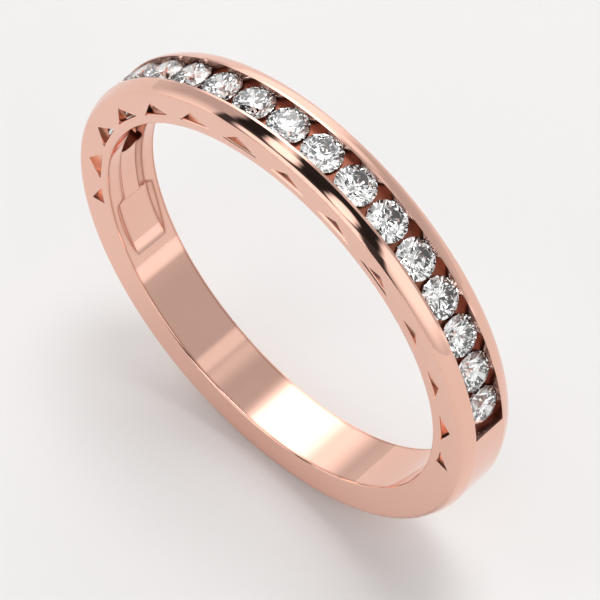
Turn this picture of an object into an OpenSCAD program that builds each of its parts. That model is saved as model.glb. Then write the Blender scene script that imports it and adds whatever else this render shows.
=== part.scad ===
// Channel-set wedding band: one cast band that carries a row of round brilliants.
// The bore runs along Y, and the middle stone points up along Z.

/* [Band] */
// Inside diameter, which is the finger size
bore_d = 17.3; // [15:0.1:21]
// Width across the ridges, the widest place
band_w = 2.77; // [2.7:0.01:3.4]
// Width across the sides at the bore
bore_w = 2.59; // [2.5:0.01:2.7]
// Height of the sides, from the bore to the ridges
side_h = 1.45; // [1.35:0.01:1.6]
// Height of the rails, from the bore to the top
rail_h = 1.71; // [1.68:0.01:1.9]
// Width of the top between the two sloping shoulders
top_w = 1.66; // [1.6:0.01:1.8]
// How far the middle of a shoulder bows out
shoulder_bow = 0.045; // [0.02:0.005:0.06]
// Rounding of the two ridges
ridge_round = 0.2; // [0.1:0.01:0.25]
// Rounding of the bore's edges
bore_round = 0.08; // [0.04:0.01:0.15]

/* [Stones] */
// How many brilliants stand in the row
stone_count = 17; // [9:2:19]
// Diameter of a brilliant
stone_d = 1.65; // [1.5:0.01:1.7]
// Room between two neighbours, girdle to girdle
stone_gap = 0.065; // [0.04:0.005:0.15]
// Width of the table, as a share of the diameter
table_share = 0.57; // [0.5:0.01:0.65]
// Height of the crown, as a share of the diameter
crown_share = 0.15; // [0.12:0.005:0.16]
// Height of the girdle, as a share of the diameter
girdle_share = 0.03; // [0.02:0.005:0.04]
// Depth of the pavilion, as a share of the diameter
pavilion_share = 0.43; // [0.4:0.005:0.45]

/* [Channel] */
// How far each rail reaches over the stones
rail_lip = 0.09; // [0.06:0.01:0.12]
// Clearance between a stone and its seat
stone_fit = 0.012; // [0.008:0.002:0.02]
// How far the tables lie below the top of the rails
table_drop = 0.03; // [0:0.01:0.06]
// Depth of the channel's floor below the middle of the girdles
floor_drop = 0.12; // [0.1:0.01:0.2]
// Diameter of the hole under each stone's seat
seat_hole_d = 1.1; // [0.8:0.05:1.1]
// Room between the last stone and the end of the channel
end_room = 0.4; // [0.2:0.05:0.6]

/* [Gallery] */
// How many windows there are on a side, with a half one at each end
window_count = 14; // [10:2:16]
// Width of a window at its foot
window_w = 1.6; // [1.2:0.05:1.7]
// Height of a window, foot to tip
window_h = 0.56; // [0.4:0.02:0.6]
// Height of the foot of the windows above the bore
foot_h = 0.41; // [0.4:0.01:0.5]
// Rounding of the edge at a window's foot
foot_round = 0.1; // [0.05:0.01:0.14]
// Thickness of the gallery's walls at the foot of the windows
gallery_wall = 0.37; // [0.32:0.01:0.45]
// Depth of the windows past the ends of the hollow, which are blind
blind_depth = 0.3; // [0.2:0.01:0.32]
// How far the gallery runs on past the end of the channel
gallery_run = 2.18; // [1.9:0.01:2.5]

/* [Underside] */
// Width of the slot along the underside of the gallery
slot_w = 1.2; // [1.1:0.05:1.3]
// Depth of the slot
slot_depth = 0.16; // [0.12:0.01:0.2]
// Sideways lean of the walls of the slot and the scoops, for each unit of their depth
wall_lean = 1.25; // [0.8:0.05:1.5]
// How far the slot runs on past the end of the channel
slot_run = 2.5; // [2.4:0.01:3]
// Width of the scoop in the shank past each end of the slot
scoop_w = 1.95; // [1.8:0.05:2]
// Greatest depth of a scoop
scoop_depth = 0.165; // [0.14:0.005:0.2]
// Radius of the wheel that cuts a scoop
scoop_r = 5.3; // [4.5:0.1:6]
// Distance of a scoop's deepest place from the end of the slot
scoop_run = 0.7; // [0.4:0.1:1.2]
// Rounding of the corners where the slot widens to a scoop
scoop_round = 0.2; // [0.15:0.01:0.25]

/* [Hidden] */
$fn = 96;
past = 0.3;
overlap = 0.03;
bore_r = bore_d / 2;
ridge_r = bore_r + side_h;
rail_r = bore_r + rail_h;
stone_r = stone_d / 2;
crown_h = stone_d * crown_share;
girdle_h = stone_d * girdle_share;
pavilion_h = stone_d * pavilion_share;
table_r = stone_r * table_share;

girdle_r = rail_r - table_drop - crown_h - girdle_h / 2;
stone_pitch = 2 * asin((stone_d + stone_gap) / 2 / girdle_r);
row_half = stone_pitch * (stone_count - 1) / 2;
channel_half = row_half + asin(stone_r / girdle_r) + end_room / girdle_r * 180 / PI;
gallery_half = channel_half + gallery_run / girdle_r * 180 / PI;
slot_half = channel_half + slot_run / girdle_r * 180 / PI;
window_pitch = 2 * gallery_half / (window_count - 1);

floor_r = girdle_r - floor_drop;
foot_r = bore_r + foot_h;
tip_r = foot_r + window_h;
slot_r = bore_r + slot_depth;
slot_floor_half = slot_w / 2 - slot_depth * wall_lean;
hollow_r = foot_r - 2 * overlap;
hollow_top_r = tip_r + overlap;
hollow_half = side_at(foot_r) - gallery_wall;
hollow_end = row_half + 1;

function stone_name(i) = str("stone_", i < 10 ? "0" : "", i);

// Half width of the band at a radius, along its sloping side.
function side_at(r) = bore_w / 2 + (band_w - bore_w) / 2 * (r - bore_r) / side_h;

// Unit vector from one point to another.
function toward(a, b) = (b - a) / norm(b - a);

// Half the angle of a corner.
function half_corner(before, corner, after) = acos(toward(corner, before) * toward(corner, after)) / 2;

// The sliver between a sharp corner and its round, which crosses the two sides at a very flat angle.
module corner_sliver(before, corner, after, radius) {
  u = toward(corner, before);
  v = toward(corner, after);
  half_angle = half_corner(before, corner, after);
  inset = 0.9998 * radius;
  reach = inset / tan(half_angle);
  middle = (u + v) / norm(u + v);
  centre = corner + middle * inset / sin(half_angle);
  difference() {
    polygon([corner - middle * radius, corner + u * reach, centre, corner + v * reach]);
    translate(centre) circle(radius);
  }
}

// Cross-section of the solid band, radius along X and width along Y.
module section() {
  bore_edge = [bore_r, bore_w / 2];
  ridge = [ridge_r, band_w / 2];
  top_edge = [rail_r, top_w / 2];
  slope = toward(ridge, top_edge);
  shoulder = (ridge + top_edge) / 2 + shoulder_bow * [-slope.y, slope.x];
  below = [0, -1];
  ridge_reach = ridge_round / tan(half_corner(bore_edge, ridge, shoulder));
  free = 0.95 * (norm(shoulder - ridge) - ridge_reach);
  shoulder_round = free * tan(half_corner(ridge, shoulder, top_edge));
  outline = [bore_edge, ridge, shoulder, top_edge];
  difference() {
    polygon(concat(outline, [for (i = [3:-1:0]) [outline[i].x, -outline[i].y]]));
    for (side = [0, 1]) mirror([0, side]) {
      corner_sliver(bore_edge + below, bore_edge, ridge, bore_round);
      corner_sliver(bore_edge, ridge, shoulder, ridge_round);
      corner_sliver(ridge, shoulder, top_edge, shoulder_round);
    }
  }
}

// Turns a cross-section about the bore, evenly to both sides of the middle stone.
module sweep(half_angle) {
  rotate([0, 0, 90 - half_angle]) rotate_extrude(angle = 2 * half_angle) children();
}

// Cross-section of the channel between the two rails.
module channel_section() {
  half = stone_r - rail_lip;
  translate([floor_r, -half]) square([rail_r + past - floor_r, 2 * half]);
}

// What a setter's bur cuts for one stone: its own outline with a little room, and a hole below.
module seat(low_r) {
  room_r = stone_r + stone_fit;
  girdle_z = girdle_h / 2 + stone_fit;
  hole_r = seat_hole_d / 2;
  hole_z = -girdle_z - (room_r - hole_r) * pavilion_h / stone_r;
  top_z = girdle_z + (room_r - table_r) * crown_h / (stone_r - table_r);
  low_z = low_r - girdle_r;
  rotate_extrude() polygon([
    [0, low_z], [hole_r, low_z], [hole_r, hole_z],
    [room_r, -girdle_z], [room_r, girdle_z],
    [table_r, top_z], [0, top_z]
  ]);
}

// Hollow of the gallery, open to the slot below it and the seats above it.
module hollow_section() {
  translate([hollow_r, -hollow_half]) square([hollow_top_r - hollow_r, 2 * hollow_half]);
}

// Slot along the underside, open to the hollow, with a scoop past each end.
module underside() {
  mouth_half = slot_w / 2 + past * wall_lean;
  open_half = slot_floor_half - overlap;
  sweep(slot_half + 1) polygon([
    [bore_r - past, mouth_half], [slot_r, slot_floor_half],
    [slot_r, -slot_floor_half], [bore_r - past, -mouth_half]
  ]);
  sweep(hollow_end - 1) translate([slot_r - overlap, -open_half])
    square([hollow_r - slot_r + 2 * overlap, 2 * open_half]);
  for (end = [0, 1]) mirror([end, 0, 0]) rotate([0, 0, 90 - slot_half]) scoop();
}

// One scoop in the shank, below the X axis, cut by a wheel with leaning flanks.
module scoop() {
  floor_half = scoop_w / 2 - scoop_depth * wall_lean;
  flank = 2 * past;
  flank_half = floor_half + flank * wall_lean;
  intersection() {
    rotate([0, 0, -scoop_run / bore_r * 180 / PI]) translate([bore_r + scoop_depth - scoop_r, 0, 0])
      rotate_extrude() polygon([
        [0, flank_half], [scoop_r - flank, flank_half], [scoop_r, floor_half],
        [scoop_r, -floor_half], [scoop_r - flank, -flank_half], [0, -flank_half]
      ]);
    translate([bore_r - scoop_r / 2, 0, 0]) rotate([90, 0, 90])
      linear_extrude(scoop_r) scoop_plan();
  }
}

// Outline of a scoop seen from the bore, with round corners where it meets the slot.
module scoop_plan() {
  reach = 2 * scoop_r;
  half = scoop_w / 2 + scoop_round / 2;
  end_round = 1.5 * scoop_round;
  widen_r = 1.3 * scoop_round;
  inset = 1.27 * scoop_round;
  for (side = [0, 1]) mirror([0, side]) {
    difference() {
      translate([-reach, -overlap]) square([reach, half + overlap]);
      corner_sliver([-reach, half], [0, half], [0, 0], end_round);
    }
    difference() {
      translate([-overlap, slot_w / 2 - overlap]) square(scoop_round + overlap);
      translate([inset, slot_w / 2 + inset]) circle(widen_r);
    }
  }
}

// One window of the gallery with the round on its foot, over its left, right or both halves.
module window(left, right, depth) {
  side = side_at(foot_r);
  y0 = -left * window_w / 2;
  y1 = right * window_w / 2;
  translate([0, 0, side - depth]) linear_extrude(depth + past)
    polygon([[foot_r, y0], [foot_r, y1], [tip_r, 0]]);
  translate([0, y1 + right * overlap, 0]) rotate([90, 0, 0])
    linear_extrude(y1 - y0 + (left + right) * overlap) foot_edge(side);
}

// Cross-section of the metal that the round on a window's foot takes away.
module foot_edge(side) {
  round_r = 1.3 * foot_round;
  inset = 1.27 * foot_round;
  difference() {
    translate([foot_r - foot_round, side - foot_round])
      square([foot_round + overlap, foot_round + past]);
    translate([foot_r - inset, side - inset]) circle(round_r);
  }
}

// All windows of one side.
module windows() {
  last = (window_count - 1) / 2;
  for (k = [-last:last]) {
    depth = abs(k) * window_pitch < hollow_end ? gallery_wall + past / 3 : blind_depth;
    rotate([0, 0, 90 + k * window_pitch]) window(k > -last ? 1 : 0, k < last ? 1 : 0, depth);
  }
}

// The cast band.
module band() {
  color("#dda28e") rotate([90, 0, 0]) difference() {
    rotate_extrude() section();
    sweep(channel_half) channel_section();
    for (i = [1:stone_count])
      in_place(i) seat(i == 1 || i == stone_count ? bore_r : hollow_r + past);
    sweep(hollow_end) hollow_section();
    underside();
    windows();
    mirror([0, 0, 1]) windows();
  }
}

// Points of one level of a brilliant.
function level(count, start, r, z) = [
  for (i = [0:count - 1])
    let (angle = start + i * 360 / count)
      [r * cos(angle), r * sin(angle), z]
];

// One round brilliant, table up, with the middle of its girdle at the origin.
module brilliant() {
  table_in = table_r * cos(22.5);
  star_r = table_in + (stone_r - table_in) / 2;
  star_z = girdle_h / 2 + crown_h * (stone_r - star_r * cos(22.5)) / (stone_r - table_r);
  lower_share = 0.22;
  half_r = stone_r * lower_share;
  half_z = -girdle_h / 2 - pavilion_h * (1 - lower_share * cos(22.5));
  points = concat(
    level(8, 0, table_r, girdle_h / 2 + crown_h),
    level(8, 22.5, star_r, star_z),
    level(16, 0, stone_r, girdle_h / 2),
    level(16, 0, stone_r, -girdle_h / 2),
    level(8, 22.5, half_r, half_z),
    [[0, 0, -girdle_h / 2 - pavilion_h]]
  );
  star = 8;
  upper = 16;
  lower = 32;
  half = 48;
  culet = 56;
  table = [[for (i = [7:-1:0]) i]];
  stars = [for (i = [0:7]) [i, (i + 1) % 8, star + i]];
  bezels = [for (i = [0:7]) [i, star + i, upper + 2 * i, star + (i + 7) % 8]];
  crown = [for (j = [0:15]) [star + floor(j / 2), upper + (j + 1) % 16, upper + j]];
  girdle = [for (j = [0:15]) [upper + j, upper + (j + 1) % 16, lower + (j + 1) % 16, lower + j]];
  halves = [for (j = [0:15]) [lower + j, lower + (j + 1) % 16, half + floor(j / 2)]];
  mains = [for (i = [0:7]) [culet, half + (i + 7) % 8, lower + 2 * i, half + i]];
  polyhedron(points, concat(table, stars, bezels, crown, girdle, halves, mains));
}

// Carries a stone or its seat to its place in the row, counted from the left end.
module in_place(i) {
  rotate([0, 0, 90 + (stone_count + 1 - 2 * i) / 2 * stone_pitch]) translate([girdle_r, 0, 0])
    rotate([0, 90, 0]) children();
}

// A stone of the row.
module stone(i) {
  color("#e8eef2") rotate([90, 0, 0]) in_place(i) brilliant();
}

band();
for (i = [1:stone_count]) stone(i);
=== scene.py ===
import bpy
import numpy as np
from mathutils import Matrix, Vector


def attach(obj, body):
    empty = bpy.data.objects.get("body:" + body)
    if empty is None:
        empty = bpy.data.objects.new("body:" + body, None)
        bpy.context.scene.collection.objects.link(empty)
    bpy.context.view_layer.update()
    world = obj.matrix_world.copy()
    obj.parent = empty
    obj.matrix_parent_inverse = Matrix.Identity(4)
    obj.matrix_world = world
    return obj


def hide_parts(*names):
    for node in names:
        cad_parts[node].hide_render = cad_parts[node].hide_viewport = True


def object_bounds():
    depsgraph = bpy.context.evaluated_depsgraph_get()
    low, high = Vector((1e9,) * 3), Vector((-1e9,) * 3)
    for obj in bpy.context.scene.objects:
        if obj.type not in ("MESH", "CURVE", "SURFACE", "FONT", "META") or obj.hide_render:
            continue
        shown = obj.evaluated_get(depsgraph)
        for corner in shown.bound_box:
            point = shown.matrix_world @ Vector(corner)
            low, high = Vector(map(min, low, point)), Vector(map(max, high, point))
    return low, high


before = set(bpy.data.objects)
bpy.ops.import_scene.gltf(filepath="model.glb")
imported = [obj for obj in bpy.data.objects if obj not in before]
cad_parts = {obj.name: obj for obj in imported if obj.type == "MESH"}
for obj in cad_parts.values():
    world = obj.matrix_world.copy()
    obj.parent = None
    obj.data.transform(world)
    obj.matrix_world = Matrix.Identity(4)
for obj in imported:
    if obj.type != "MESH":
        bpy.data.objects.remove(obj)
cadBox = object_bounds()
mm = 0.001
tiny = 1e-12  # keeps lengths that are divided by off zero


# The band: a copy of the cast solid's mesh, made finer, with the true normals of its turned faces

bandForm = {  # millimetres and degrees
    "boreRadius": 8.65, "boreHalf": 1.295, "boreRound": 0.08,
    "ridgeRadius": 10.10, "ridgeHalf": 1.385, "ridgeRound": 0.2,
    "topRadius": 10.36, "topHalf": 0.83, "shoulderBow": 0.045, "shoulderShare": 0.95,
    "channelFloor": 9.93775, "hollowFloor": 9.0, "hollowTop": 9.65,
    "slotRadius": 8.81, "slotWidth": 1.2, "slotHalf": 99.4789, "wallLean": 1.25,
    "windowPitch": 15.024, "footRadius": 9.06, "footRound": 0.13, "footInset": 0.127,
    "scoopRadius": 5.3, "scoopDepth": 0.165, "scoopRun": 0.7, "scoopWidth": 1.95,
    "planHalf": 1.075, "cornerRound": 0.3, "widenRound": 0.26, "widenInset": 0.254,
    # reading the mesh: digits to merge corners by, how far off a face a corner may lie, how well a
    # triangle has to agree with it, rounds of drawing new points in, and how far from the slot's
    # floor a wall counts as a low step
    "mergeDigits": 5, "faceTolerance": 0.0015, "leastAgreement": 0.9, "drawRounds": 8,
    "lowStep": 0.03,
    # the channel's painted shade is laid at this share on the flat walls above the channel's floor
    "wallShade": 0.6,  # share of the channel's finish on its flat walls
}
seatForm = {  # radius and height in a stone's own frame, millimetres
    "count": 17, "pitch": 9.78168, "girdleRadius": 10.0578,
    "hole": (0.55, -0.28337), "belowGirdle": (0.837, -0.03675),
    "aboveGirdle": (0.837, 0.03675), "underLip": (0.47025, 0.29242),
}


def polar(points, centre=(0, 0, 0)):
    # radius and unit radial direction about an axis along Y, the bore's or another
    outward = (points - np.array(centre)) * np.array([1.0, 0.0, 1.0])
    radius = np.maximum(np.linalg.norm(outward, axis=1), tiny)
    return radius, outward / radius[:, None]


def turnedCylinder(r):  # distance = radius - r, normal straight out from the bore axis
    def face(points):
        radius, outward = polar(points)
        return radius - r, outward
    return face


def turnedCone(start, end, centre=(0, 0, 0)):
    # a line of a section, (radius, half width), turned about the axis: distance off that line
    start, end = np.array(start), np.array(end)
    along = (end - start) / np.linalg.norm(end - start)
    nr, ny = -along[1], along[0]

    def face(points):
        radius, outward = polar(points, centre)
        side = np.sign(points[:, 1])
        distance = (radius - start[0]) * nr + (np.abs(points[:, 1]) - start[1]) * ny
        normal = outward * nr
        normal[:, 1] = side * ny
        return distance, normal
    return face


def cornerSides(before, corner, after):
    # unit vectors along the two sides of a corner, and half its angle
    u = (before - corner) / np.linalg.norm(before - corner)
    v = (after - corner) / np.linalg.norm(after - corner)
    return u, v, np.arccos(u @ v) / 2


def turnedRound(before, corner, after, r):
    # a rounded corner of the section, turned about the bore: distance from its centre line, less r
    u, v, half = cornerSides(before, corner, after)
    centre = corner + (u + v) / np.linalg.norm(u + v) * r / np.sin(half)

    def face(points):
        radius, outward = polar(points)
        dr = radius - centre[0]
        dy = np.abs(points[:, 1]) - centre[1]
        reach = np.hypot(dr, dy)
        normal = outward * (dr / reach)[:, None]
        normal[:, 1] = np.sign(points[:, 1]) * dy / reach
        return reach - r, normal
    return face


def straightCylinder(centre, axis, r):  # distance from a straight axis, less r
    centre, axis = np.array(centre), np.array(axis)

    def face(points):
        offset = points - centre
        offset = offset - np.outer(offset @ axis, axis)
        reach = np.linalg.norm(offset, axis=1)
        return reach - r, offset / reach[:, None]
    return face


def footRounds(form):
    # the round on every window's foot: distance from a bar across the nearest window, less its
    # radius
    slope = (form["ridgeHalf"] - form["boreHalf"]) / (form["ridgeRadius"] - form["boreRadius"])
    sideHalf = form["boreHalf"] + slope * (form["footRadius"] - form["boreRadius"])
    barRadius, barHalf = form["footRadius"] - form["footInset"], sideHalf - form["footInset"]
    pitch = np.radians(form["windowPitch"])

    def face(points):
        fromTop = np.arctan2(points[:, 0], points[:, 2])
        window = (np.floor(fromTop / pitch) + 0.5) * pitch
        across = points[:, 0] * np.sin(window) + points[:, 2] * np.cos(window)
        dr = across - barRadius
        dy = np.abs(points[:, 1]) - barHalf
        reach = np.hypot(dr, dy)
        side = np.sign(points[:, 1])
        normal = np.stack([dr * np.sin(window), side * dy, dr * np.cos(window)], axis=1)
        return reach - form["footRound"], normal / reach[:, None]
    return face


def seatTurned(start, end):
    # a line of a seat's profile, turned about the axis of the nearest stone: distance off that line
    start, end = np.array(start), np.array(end)
    along = (end - start) / np.linalg.norm(end - start)
    pitch, last = np.radians(seatForm["pitch"]), seatForm["count"] // 2

    def face(points):
        number = np.clip(np.round(np.arctan2(points[:, 0], points[:, 2]) / pitch), -last, last)
        axis = np.stack([np.sin(number * pitch), 0 * number, np.cos(number * pitch)], axis=1)
        height = (points * axis).sum(axis=1)
        offset = points - height[:, None] * axis
        reach = np.maximum(np.linalg.norm(offset, axis=1), tiny)
        level = height - seatForm["girdleRadius"]
        distance = (reach - start[0]) * along[1] - (level - start[1]) * along[0]
        normal = offset * (along[1] / reach)[:, None] - axis * along[0]
        return distance, normal
    return face


def scoopFaces(form):
    # per end: the scoop's floor and leaning flanks, and the round corners where the slot widens
    faces = []
    slotEnd = np.radians(form["slotHalf"])
    wheelReach = form["boreRadius"] + form["scoopDepth"] - form["scoopRadius"]
    wheelAngle = slotEnd + form["scoopRun"] / form["boreRadius"]
    floorHalf = form["scoopWidth"] / 2 - form["scoopDepth"] * form["wallLean"]
    inner = (-form["cornerRound"], form["planHalf"] - form["cornerRound"], form["cornerRound"])
    outer = (form["widenInset"], form["slotWidth"] / 2 + form["widenInset"], form["widenRound"])
    for side in (-1, 1):
        wheel = (side * wheelReach * np.sin(wheelAngle), 0, wheelReach * np.cos(wheelAngle))
        faces.append(straightCylinder(wheel, (0, 1, 0), form["scoopRadius"]))
        flank = (form["scoopRadius"] - 1, floorHalf + form["wallLean"])
        faces.append(turnedCone((form["scoopRadius"], floorHalf), flank, wheel))
        axis = np.array([side * np.sin(slotEnd), 0, np.cos(slotEnd)])
        uphill = np.array([-side * np.cos(slotEnd), 0, np.sin(slotEnd)])
        for along, across, r in (inner, outer):
            for edge in (-1, 1):
                spot = uphill * along + np.array([0, edge * across, 0])
                faces.append(straightCylinder(spot, axis, r))
    return faces


def bandFaces(form):
    # by finish and painted light: the channel's painted shade, the gallery's satin with painted
    # light, polished underside, polished outside
    bore = np.array([form["boreRadius"], form["boreHalf"]])
    ridge = np.array([form["ridgeRadius"], form["ridgeHalf"]])
    top = np.array([form["topRadius"], form["topHalf"]])
    inward = np.array([0, -1])
    # the shoulder's corner stands out from the middle of the line ridge to top, and its round takes
    # a share of the length that the ridge's round leaves free
    slope = (top - ridge) / np.linalg.norm(top - ridge)
    shoulder = (ridge + top) / 2 + form["shoulderBow"] * np.array([-slope[1], slope[0]])
    ridgeReach = form["ridgeRound"] / np.tan(cornerSides(bore, ridge, shoulder)[2])
    free = form["shoulderShare"] * (np.linalg.norm(shoulder - ridge) - ridgeReach)
    shoulderRound = free * np.tan(cornerSides(ridge, shoulder, top)[2])
    slotDepth = form["slotRadius"] - form["boreRadius"]
    slotEdge = (form["slotRadius"], form["slotWidth"] / 2 - slotDepth * form["wallLean"])
    channel = [
        turnedCylinder(form["channelFloor"]),
        seatTurned((seatForm["hole"][0], 0), seatForm["hole"]),
        seatTurned(seatForm["hole"], seatForm["belowGirdle"]),
        seatTurned(seatForm["belowGirdle"], seatForm["aboveGirdle"]),
        seatTurned(seatForm["aboveGirdle"], seatForm["underLip"]),
    ]
    gallery = [turnedCylinder(form["hollowFloor"]), turnedCylinder(form["hollowTop"])]
    underside = [
        turnedCylinder(form["boreRadius"]), turnedCylinder(form["slotRadius"]),
        turnedCone(slotEdge, (form["boreRadius"], form["slotWidth"] / 2)), *scoopFaces(form),
    ]
    outside = [
        turnedCylinder(form["topRadius"]),
        turnedCone(bore, ridge), turnedCone(ridge, shoulder), turnedCone(shoulder, top),
        turnedRound(bore + inward, bore, ridge, form["boreRound"]),
        turnedRound(bore, ridge, shoulder, form["ridgeRound"]),
        turnedRound(ridge, shoulder, top, shoulderRound),
        footRounds(form),
    ]
    return {"channel": channel, "gallery": gallery, "underside": underside, "outside": outside}


def nodeMesh(node):
    # a CAD node's corners in millimetres, with doubles merged, and its triangles
    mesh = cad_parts[node].data
    mesh.calc_loop_triangles()
    corners = np.empty(len(mesh.vertices) * 3, np.float32)
    mesh.vertices.foreach_get("co", corners)
    triangles = np.empty(len(mesh.loop_triangles) * 3, np.int32)
    mesh.loop_triangles.foreach_get("vertices", triangles)
    corners = corners.reshape(-1, 3).astype(float) / mm
    rounded = np.round(corners, bandForm["mergeDigits"])
    _, first, merged = np.unique(rounded, axis=0, return_index=True, return_inverse=True)
    triangles = merged.ravel()[triangles].reshape(-1, 3)
    a, b, c = triangles.T
    whole = (a != b) & (b != c) & (c != a)
    return corners[first], triangles[whole]


def flatNormals(points, triangles):  # the cross product of two sides, at length 1
    a, b, c = (points[triangles[:, i]] for i in range(3))
    normal = np.cross(b - a, c - a)
    return normal / np.maximum(np.linalg.norm(normal, axis=1), tiny)[:, None]


def sortTriangles(points, triangles, faces):
    # each triangle goes to the curved face that all its corners lie on and that points its way, or
    # to -1 if flat
    flat = flatNormals(points, triangles)
    middle = points[triangles].mean(axis=1)
    found = np.full(len(triangles), -1)
    best = np.full(len(triangles), bandForm["leastAgreement"])
    for number, face in enumerate(faces):
        off = np.abs(face(points)[0])[triangles].max(axis=1)
        agree = np.abs((face(middle)[1] * flat).sum(axis=1))
        take = (off < bandForm["faceTolerance"]) & (agree > best)
        found[take] = number
        best[take] = agree[take]
    return found, flat


def splitTriangles(points, triangles, faces, found, flat):
    # every edge gets a middle point, which is then drawn onto the two faces that meet there
    edges = np.sort(triangles[:, [[0, 1], [1, 2], [2, 0]]].reshape(-1, 2), axis=1)
    edges, inverse = np.unique(edges, axis=0, return_inverse=True)
    inverse = inverse.ravel()
    owner = np.repeat(np.arange(len(triangles)), 3)
    order = np.argsort(inverse, kind="stable")
    starts = np.searchsorted(inverse[order], np.arange(len(edges)))
    ends = np.searchsorted(inverse[order], np.arange(len(edges)), side="right") - 1
    sides = np.stack([owner[order[starts]], owner[order[ends]]])
    middles = points[edges].mean(axis=1)
    for turn in range(bandForm["drawRounds"]):
        for side in sides:
            here = found[side]
            onFlat = here == -1
            anchor = points[triangles[side[onFlat], 0]]
            normal = flat[side[onFlat]]
            height = ((middles[onFlat] - anchor) * normal).sum(axis=1)
            middles[onFlat] -= height[:, None] * normal
            for number, face in enumerate(faces):
                take = here == number
                if take.any():
                    distance, normal = face(middles[take])
                    middles[take] -= distance[:, None] * normal
    a, b, c = triangles.T
    ab, bc, ca = (inverse.reshape(-1, 3) + len(points)).T
    quarters = ((a, ab, ca), (ab, b, bc), (ca, bc, c), (ab, bc, ca))
    finer = np.stack([np.stack(quarter, axis=1) for quarter in quarters], axis=1)
    return np.concatenate([points, middles]), finer.reshape(-1, 3), np.repeat(found, 4)


def cornerNormals(points, triangles, faces, found):
    # a curved face's true normal at each corner, turned the triangle's way, or the flat triangle's
    flat = flatNormals(points, triangles)
    normals = np.repeat(flat[:, None, :], 3, axis=1)
    for number, face in enumerate(faces):
        take = found == number
        if take.any():
            true = face(points[triangles[take]].reshape(-1, 3))[1].reshape(-1, 3, 3)
            way = np.sign((true.sum(axis=1) * flat[take]).sum(axis=1))
            normals[take] = true * way[:, None, None]
    # the low step from the slot's floor to a scoop's is polished over: it takes the floor's normals
    radius, outward = polar(points)
    low = np.abs(radius - bandForm["slotRadius"])[triangles].max(axis=1) < bandForm["lowStep"]
    step = low & (found == -1)
    normals[step] = -outward[triangles[step]]
    return normals.reshape(-1, 3)


def meshPiece(name, points, triangles, normals):  # one normal for each corner of each triangle
    mesh = bpy.data.meshes.new(name)
    mesh.from_pydata((points * mm).tolist(), [], triangles.tolist())
    mesh.polygons.foreach_set("use_smooth", np.ones(len(triangles), bool))
    mesh.normals_split_custom_set(normals.tolist())
    mesh.update()
    piece = bpy.data.objects.new(name, mesh)
    bpy.context.scene.collection.objects.link(piece)
    return piece


def makeBand():
    groups = bandFaces(bandForm)
    faces = [face for group in groups.values() for face in group]
    finishesAndPaintedLight = [finishAndPaintedLight for finishAndPaintedLight, group in groups.items() for face in group] + ["wall"]
    points, triangles = nodeMesh("band")
    found, flat = sortTriangles(points, triangles, faces)
    points, triangles, found = splitTriangles(points, triangles, faces, found, flat)
    normals = cornerNormals(points, triangles, faces, found)
    piece = meshPiece("polishedBand", points, triangles, normals)
    # each finish and painted light is a face attribute of 0 to 1: a flat triangle, number -1, is
    # wall and takes the gallery's satin and painted light, and above the channel's floor a share of
    # the channel's painted shade too
    finishAndPaintedLight = np.array(finishesAndPaintedLight)[found]
    wall = finishAndPaintedLight == "wall"
    high = polar(points[triangles].mean(axis=1))[0] > bandForm["channelFloor"]
    shares = {
        "channel": (finishAndPaintedLight == "channel") + bandForm["wallShade"] * (wall & high),
        "gallery": (finishAndPaintedLight == "gallery") | wall,
        "underside": finishAndPaintedLight == "underside",
    }
    for name, share in shares.items():
        layer = piece.data.attributes.new(name, "FLOAT", "FACE")
        layer.data.foreach_set("value", share.astype(np.float32))
        print("band,", name + ":", np.count_nonzero(share), "triangles")
    return piece


# Materials

goldLook = {
    "bright": (0.90, 0.56, 0.455), "deep": (0.88, 0.53, 0.42), "cloudScale": 400,
    "roughness": (0.04, 0.07),
    # satin places, colour and roughness: the gallery's colour is painted light, lighter than the
    # polished gold to lift the shade inside the windows; the channel's dark maroon is painted shade
    # under and between the stones
    "gallery": ((0.97, 0.73, 0.64), 0.16), "channel": ((0.32, 0.11, 0.07), 0.3),
    # painted shade: dark lines along the underside's edges: reach in millimetres, rays to feel for
    # the edge, agreement of the normals where a line starts and where it is full, distance from the
    # middle to start at
    "edgeShadeColor": (0.45, 0.16, 0.10), "edgeShadeReach": 0.26, "edgeShadeSamples": 8,
    "edgeShadeAgree": (0.997, 0.96), "edgeShadeFrom": (0.36, 0.4),
}
# the stones' faint cool-to-warm tint in the base colour is painted fire, coloured flashes of light
stoneLook = {
    "paintedFireCool": (0.965, 0.985, 1.0), "paintedFireWarm": (1.0, 0.985, 0.955), "cloudScale": 700,
    "ior": 2.417, "roughness": 0.0,
}


def newMaterial(name):
    material = bpy.data.materials.new(name)
    material.use_nodes = True
    tree = material.node_tree
    return material, tree, tree.nodes["Principled BSDF"]


def addNode(tree, kind, **values):
    node = tree.nodes.new(kind)
    for key, value in values.items():
        setattr(node, key, value)
    return node


def softStep(tree, value, low, high):  # 0 at low, 1 at high, smooth between
    step = addNode(tree, "ShaderNodeMapRange", interpolation_type="SMOOTHSTEP")
    step.inputs["From Min"].default_value = low
    step.inputs["From Max"].default_value = high
    tree.links.new(value, step.inputs["Value"])
    return step.outputs["Result"]


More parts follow.
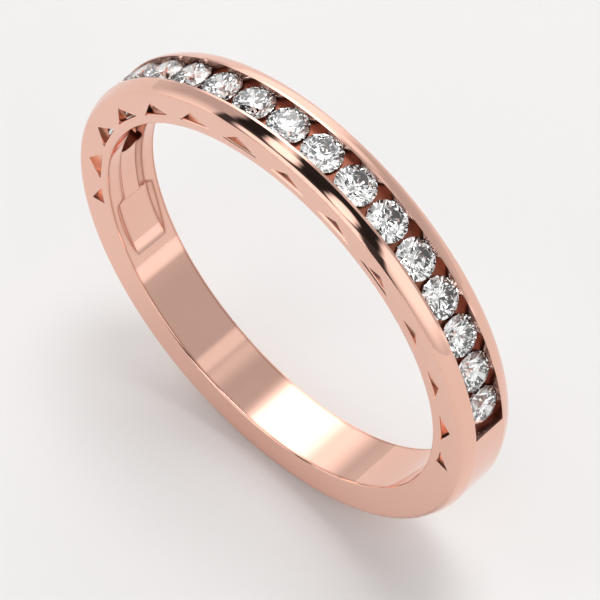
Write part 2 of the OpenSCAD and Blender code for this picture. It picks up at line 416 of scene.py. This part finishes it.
def softCloud():
    # a node group: a soft cloud in the object's own space, as a factor and a blend of two colours
    group = bpy.data.node_groups.new("softCloud", "ShaderNodeTree")
    number, tint = "NodeSocketFloat", "NodeSocketColor"
    for name, kind in (("Scale", number), ("Low", tint), ("High", tint)):
        group.interface.new_socket(name, in_out="INPUT", socket_type=kind)
    for name, kind in (("Factor", number), ("Color", tint)):
        group.interface.new_socket(name, in_out="OUTPUT", socket_type=kind)
    given, result = addNode(group, "NodeGroupInput"), addNode(group, "NodeGroupOutput")
    place = addNode(group, "ShaderNodeTexCoord")
    cloud = addNode(group, "ShaderNodeTexNoise")
    tone = addNode(group, "ShaderNodeMix", data_type="RGBA")
    group.links.new(place.outputs["Object"], cloud.inputs["Vector"])
    group.links.new(given.outputs["Scale"], cloud.inputs["Scale"])
    group.links.new(cloud.outputs["Fac"], tone.inputs["Factor"])
    group.links.new(given.outputs["Low"], tone.inputs["A"])
    group.links.new(given.outputs["High"], tone.inputs["B"])
    group.links.new(cloud.outputs["Fac"], result.inputs["Factor"])
    group.links.new(tone.outputs["Result"], result.inputs["Color"])
    return group


def cloudTone(tree, group, scale, low, high):  # the group placed in a material with its values
    cloud = addNode(tree, "ShaderNodeGroup", node_tree=group)
    cloud.inputs["Scale"].default_value = scale
    cloud.inputs["Low"].default_value = (*low, 1)
    cloud.inputs["High"].default_value = (*high, 1)
    return cloud.outputs["Factor"], cloud.outputs["Color"]


def edgeShadeMask(tree):
    # the mask of the painted edge shade: 1 beside an edge, where the normals within reach differ
    # from the face's own
    around = addNode(tree, "ShaderNodeBevel", samples=goldLook["edgeShadeSamples"])
    around.inputs["Radius"].default_value = goldLook["edgeShadeReach"] * mm
    here = addNode(tree, "ShaderNodeNewGeometry")
    agree = addNode(tree, "ShaderNodeVectorMath", operation="DOT_PRODUCT")
    tree.links.new(around.outputs["Normal"], agree.inputs[0])
    tree.links.new(here.outputs["Normal"], agree.inputs[1])
    return softStep(tree, agree.outputs["Value"], *goldLook["edgeShadeAgree"])


def besideMiddle(tree, low, high):
    # 0 along the middle of the band's width, 1 farther out than high
    place = addNode(tree, "ShaderNodeSeparateXYZ")
    tree.links.new(addNode(tree, "ShaderNodeTexCoord").outputs["Object"], place.inputs["Vector"])
    off = addNode(tree, "ShaderNodeMath", operation="ABSOLUTE")
    tree.links.new(place.outputs["Y"], off.inputs[0])
    return softStep(tree, off.outputs["Value"], low * mm, high * mm)


def blend(tree, factor, below, value):  # a number laid over another by a factor
    mix = addNode(tree, "ShaderNodeMix", data_type="FLOAT")
    mix.inputs["B"].default_value = value
    tree.links.new(factor, mix.inputs["Factor"])
    tree.links.new(below, mix.inputs["A"])
    return mix.outputs["Result"]


def product(tree, first, second):
    times = addNode(tree, "ShaderNodeMath", operation="MULTIPLY")
    tree.links.new(first, times.inputs[0])
    tree.links.new(second, times.inputs[1])
    return times.outputs[0]


def mixColor(tree, factor, below, color):  # a colour laid over another by a factor
    mix = addNode(tree, "ShaderNodeMix", data_type="RGBA")
    mix.inputs["B"].default_value = (*color, 1)
    tree.links.new(factor, mix.inputs["Factor"])
    tree.links.new(below, mix.inputs["A"])
    return mix.outputs["Result"]


def goldMaterial(group):
    material, tree, shader = newMaterial("roseGoldPolish")
    cloud, color = cloudTone(
        tree, group, goldLook["cloudScale"], goldLook["deep"], goldLook["bright"])
    gloss = addNode(tree, "ShaderNodeMapRange")
    least, most = goldLook["roughness"]
    gloss.inputs["To Min"].default_value, gloss.inputs["To Max"].default_value = least, most
    tree.links.new(cloud, gloss.inputs["Value"])
    roughness = gloss.outputs["Result"]
    # painted light and shade: the gallery's lighter colour and the channel's dark maroon go into
    # the base colour; their satin roughness is real
    for finishAndPaintedLight in ("gallery", "channel"):
        tone, satin = goldLook[finishAndPaintedLight]
        share = addNode(tree, "ShaderNodeAttribute", attribute_name=finishAndPaintedLight).outputs["Fac"]
        color = mixColor(tree, share, color, tone)
        roughness = blend(tree, share, roughness, satin)
    # painted shade: dark lines mixed into the base colour beside the underside's edges
    underside = addNode(tree, "ShaderNodeAttribute", attribute_name="underside").outputs["Fac"]
    edgeShade = product(tree, edgeShadeMask(tree), besideMiddle(tree, *goldLook["edgeShadeFrom"]))
    edgeShade = product(tree, underside, edgeShade)
    color = mixColor(tree, edgeShade, color, goldLook["edgeShadeColor"])
    tree.links.new(color, shader.inputs["Base Color"])
    tree.links.new(roughness, shader.inputs["Roughness"])
    shader.inputs["Metallic"].default_value = 1.0
    return material


def stoneMaterial(group):
    material, tree, shader = newMaterial("clearBrilliant")
    # painted fire: a faint cool-to-warm tint laid into the stones' base colour
    _, tint = cloudTone(
        tree, group, stoneLook["cloudScale"], stoneLook["paintedFireCool"], stoneLook["paintedFireWarm"])
    tree.links.new(tint, shader.inputs["Base Color"])
    shader.inputs["Transmission Weight"].default_value = 1.0
    shader.inputs["IOR"].default_value = stoneLook["ior"]
    shader.inputs["Roughness"].default_value = stoneLook["roughness"]
    return material


# Stage: floor, light and camera

studio = {
    "floorColor": (0.80, 0.79, 0.785), "floorRoughness": 0.6, "floorSize": 4.0,
    "horizon": 0.72, "sky": 0.575, "skyFrom": 0.35,
    # soft lights and shades: azimuth, elevation, full and outer half-angle, brightness
    "sideLights": {
        "leftWall": (-134, 54, 30, 48, 1.35),
        "leftBox": (-134, 54, 10, 26, 2.6),
        "leftShade": (-80, 34, 15, 27, 0.57),
        "leftGlow": (-52, 8, 6, 37, 1.1),
        "rightBox": (78, 32, 10, 34, 1.35),
        "darkCeiling": (-8, 70, 38, 43.5, 0.02),
    },
    # a pale card in front with dark edges: how the front half fades in, then each side's normal,
    # and where the edge and the card begin along it
    "cardFront": (-0.1, 0.1),
    "cardSides": {
        "rightSide": ((-0.868, -0.159, 0.471), (-0.20, -0.14), (0.05, 0.13)),
        "leftSide": ((0.646, -0.474, 0.598), (-0.03, 0.04), (0.12, 0.24)),
        "upperSide": ((-0.113, -0.806, -0.581), (-0.12, -0.06), (-0.01, 0.04)),
    },
    "cardEdge": 0.05, "card": 1.35,
    "ceilingLights": {
        "rearCeiling": (175, 68, 4, 17, 0.55),
        "rearStrip": (135, 55.5, 2, 5, 0.95),
        "rearLow": (114, 4, 2, 6, 1.2),
        "backBox": (-148, 13, 9, 24, 1.35),
        "lampLeft": (-42, 62.5, 4, 11, 1.75),
        "lampLeftUpper": (-57, 69, 4, 11, 1.75),
        "lampRight": (27, 58.5, 4, 10.3, 1.65),
        "lampRightUpper": (40, 65, 3.5, 10, 1.5),
        "zenithLamp": (180, 80, 7, 13, 8.0),
    },
}
shot = {  # millimetres and degrees
    "place": (52.0095, -54.1701, 101.9994), "azimuth": 43.498, "elevation": 53.813,
    "view": 10.4698, "sensor": 36, "clip": (1, 10000),
}


def makeFloor():
    half = studio["floorSize"] / 2
    z = cadBox[0].z
    corners = [(-half, -half, z), (half, -half, z), (half, half, z), (-half, half, z)]
    mesh = bpy.data.meshes.new("floor")
    mesh.from_pydata(corners, [], [(0, 1, 2, 3)])
    floor = bpy.data.objects.new("floor", mesh)
    bpy.context.scene.collection.objects.link(floor)
    material, _, shader = newMaterial("paleFloor")
    shader.inputs["Base Color"].default_value = (*studio["floorColor"], 1)
    shader.inputs["Roughness"].default_value = studio["floorRoughness"]
    mesh.materials.append(material)
    print("floor: at", round(z / mm, 3), "mm")


def direction(azimuth, elevation):  # azimuth 0 looks to -Y, 90 to +X
    az, el = np.radians(azimuth), np.radians(elevation)
    return np.array([np.sin(az) * np.cos(el), -np.cos(az) * np.cos(el), np.sin(el)])


def makeWorld():
    world = bpy.data.worlds.new("studio")
    world.use_nodes = True
    tree = world.node_tree
    background = tree.nodes["Background"]
    place = addNode(tree, "ShaderNodeTexCoord").outputs["Generated"]

    def along(way, label):  # cosine of the angle to a direction
        dot = addNode(tree, "ShaderNodeVectorMath", operation="DOT_PRODUCT", label=label)
        dot.inputs[1].default_value = way
        tree.links.new(place, dot.inputs[0])
        return dot.outputs["Value"]

    ground = addNode(tree, "ShaderNodeMix", data_type="FLOAT")
    ground.inputs["A"].default_value = studio["horizon"]
    ground.inputs["B"].default_value = studio["sky"]
    rise = softStep(tree, along((0, 0, 1), "height"), 0, studio["skyFrom"])
    tree.links.new(rise, ground.inputs["Factor"])
    light = ground.outputs["Result"]

    def addPatches(light, patches):  # each patch is laid over the light before it
        for name, (azimuth, elevation, inner, outer, brightness) in patches.items():
            nearness = along(direction(azimuth, elevation), name)
            inside = softStep(tree, nearness, np.cos(np.radians(outer)), np.cos(np.radians(inner)))
            light = blend(tree, inside, light, brightness)
        return light

    light = addPatches(light, studio["sideLights"])
    edge = card = softStep(tree, along((0, -1, 0), "front"), *studio["cardFront"])
    for name, (way, edgeFrom, cardFrom) in studio["cardSides"].items():
        across = along(way, name)
        edge = product(tree, edge, softStep(tree, across, *edgeFrom))
        card = product(tree, card, softStep(tree, across, *cardFrom))
    light = blend(tree, edge, light, studio["cardEdge"])
    light = blend(tree, card, light, studio["card"])
    light = addPatches(light, studio["ceilingLights"])
    tree.links.new(light, background.inputs["Strength"])
    background.inputs["Color"].default_value = (1, 1, 1, 1)
    bpy.context.scene.world = world
    print("studio:", len(studio["sideLights"]) + len(studio["ceilingLights"]), "patches and a card")


def makeCamera():
    data = bpy.data.cameras.new("camera")
    data.sensor_width = shot["sensor"]
    data.angle = np.radians(shot["view"])
    data.clip_start, data.clip_end = (distance * mm for distance in shot["clip"])
    camera = bpy.data.objects.new("camera", data)
    bpy.context.scene.collection.objects.link(camera)
    back = Vector(direction(shot["azimuth"], shot["elevation"]))
    right = Vector(direction(shot["azimuth"] + 90, 0))
    turn = Matrix((right, back.cross(right), back)).transposed().to_4x4()
    camera.matrix_world = Matrix.Translation(Vector(shot["place"]) * mm) @ turn
    bpy.context.scene.camera = camera
    print("camera: view", shot["view"], "degrees")


bpy.context.scene.view_settings.view_transform = "Standard"
cloud = softCloud()
band = makeBand()
band.data.materials.append(goldMaterial(cloud))
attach(band, "root")
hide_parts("band")

brilliant = stoneMaterial(cloud)
for name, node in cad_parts.items():
    if name != "band":
        node.data.materials.clear()
        node.data.materials.append(brilliant)
print("stones:", len(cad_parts) - 1)

makeFloor()
makeWorld()
makeCamera()
